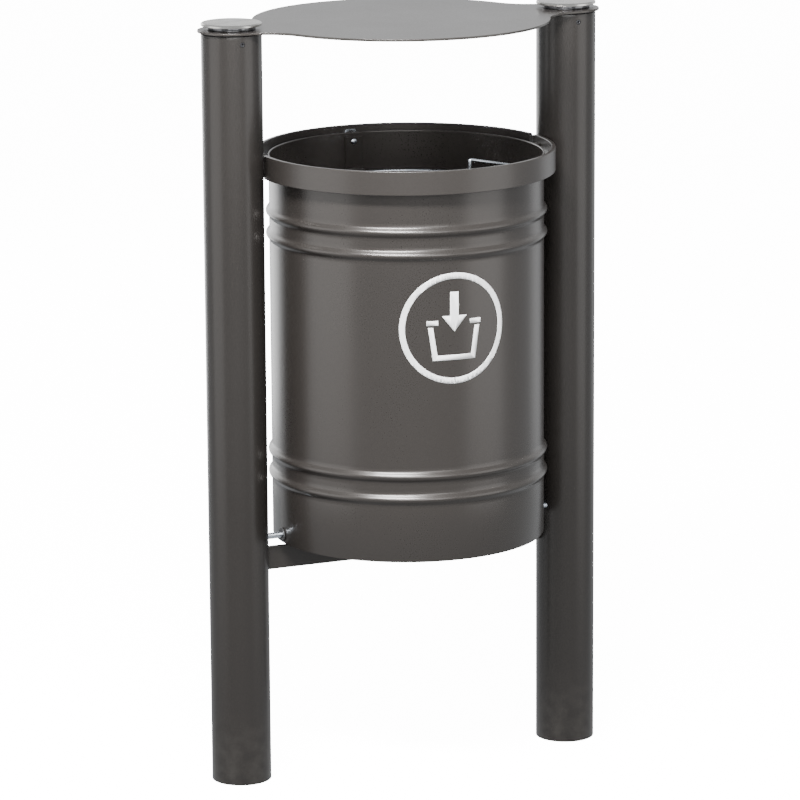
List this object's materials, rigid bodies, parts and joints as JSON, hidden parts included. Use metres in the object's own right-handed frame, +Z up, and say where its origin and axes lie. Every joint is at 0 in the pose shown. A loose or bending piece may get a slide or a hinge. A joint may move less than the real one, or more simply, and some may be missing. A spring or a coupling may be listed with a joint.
{
  "type": "litter bin",
  "caption": "Round ribbed litter bin that tips forward between two tube posts, under a flat roof plate, with a split hoop, bag ring and key lock.",
  "frame": {"origin": "on the ground, at the middle of the whole object's box", "axes": "+X from the left post to the right post, -Y towards the front of the bin, +Z up"},
  "size_m": [0.543, 0.3906, 0.9759],
  "materials": {
    "post_paint": "satin metallic dark grey powder coat",
    "frame_paint": "satin metallic dark grey powder coat",
    "roof_paint": "satin metallic dark grey powder coat",
    "hoop_paint": "satin metallic dark grey powder coat",
    "bin_paint": "satin metallic dark grey powder coat",
    "stainless": "turned stainless steel",
    "zinc": "bright zinc plate",
    "dark_screw": "black oxide",
    "rubber": "matt black",
    "black_nylon": "moulded, slightly matt",
    "decal_white": "white vinyl film"
  },
  "bodies": {
    "frame": {"left_post": "post_paint", "left_post_plug": "black_nylon", "left_grub_screw": "dark_screw", "left_roof_gasket": "rubber", "left_cap_spacer": "stainless", "left_cap": "stainless", "left_hoop_bracket": "frame_paint", "left_stop_pad": "rubber", "left_pivot_bolt": "zinc", "left_pivot_washer": "zinc", "left_weld_nut": "zinc", "right_post": "post_paint", "right_post_plug": "black_nylon", "right_grub_screw": "dark_screw", "right_roof_gasket": "rubber", "right_cap_spacer": "stainless", "right_cap": "stainless", "right_hoop_bracket": "frame_paint", "right_stop_pad": "rubber", "right_pivot_bolt": "zinc", "right_pivot_washer": "zinc", "right_weld_nut": "zinc", "roof_plate": "roof_paint", "crossbar": "frame_paint", "rear_hoop": "hoop_paint", "lock_housing": "stainless", "lock_nut": "zinc"},
    "bin": {"bin_body": "bin_paint", "bin_floor": "bin_paint", "front_hoop": "hoop_paint", "left_hoop_tab": "hoop_paint", "front_left_hoop_tab": "hoop_paint", "front_right_hoop_tab": "hoop_paint", "right_hoop_tab": "hoop_paint", "left_pivot_bush": "black_nylon", "right_pivot_bush": "black_nylon", "lock_striker": "zinc", "ring_clip": "zinc", "clip_rivet": "zinc", "left_ring_rest": "zinc", "right_ring_rest": "zinc"},
    "bag_ring": {"bag_ring": "zinc"},
    "lock": {"lock_plug": "stainless", "lock_cam": "zinc"}
  },
  "joints": [
    {"name": "bin_tilt", "type": "hinge", "parent": "frame", "child": "bin", "pos_m": [0, -0.00625, 0.3185], "axis": [1, 0, 0], "range_deg": [0, 85]},
    {"name": "bag_ring_lift", "type": "hinge", "parent": "bin", "child": "bag_ring", "pos_m": [0, 0.15685, 0.746], "axis": [-1, 0, 0], "range_deg": [0, 25]},
    {"name": "lock_turn", "type": "hinge", "parent": "frame", "child": "lock", "pos_m": [0, 0.18275, 0.7905], "axis": [0, 1, 0], "range_deg": [0, 90]}
  ]
}
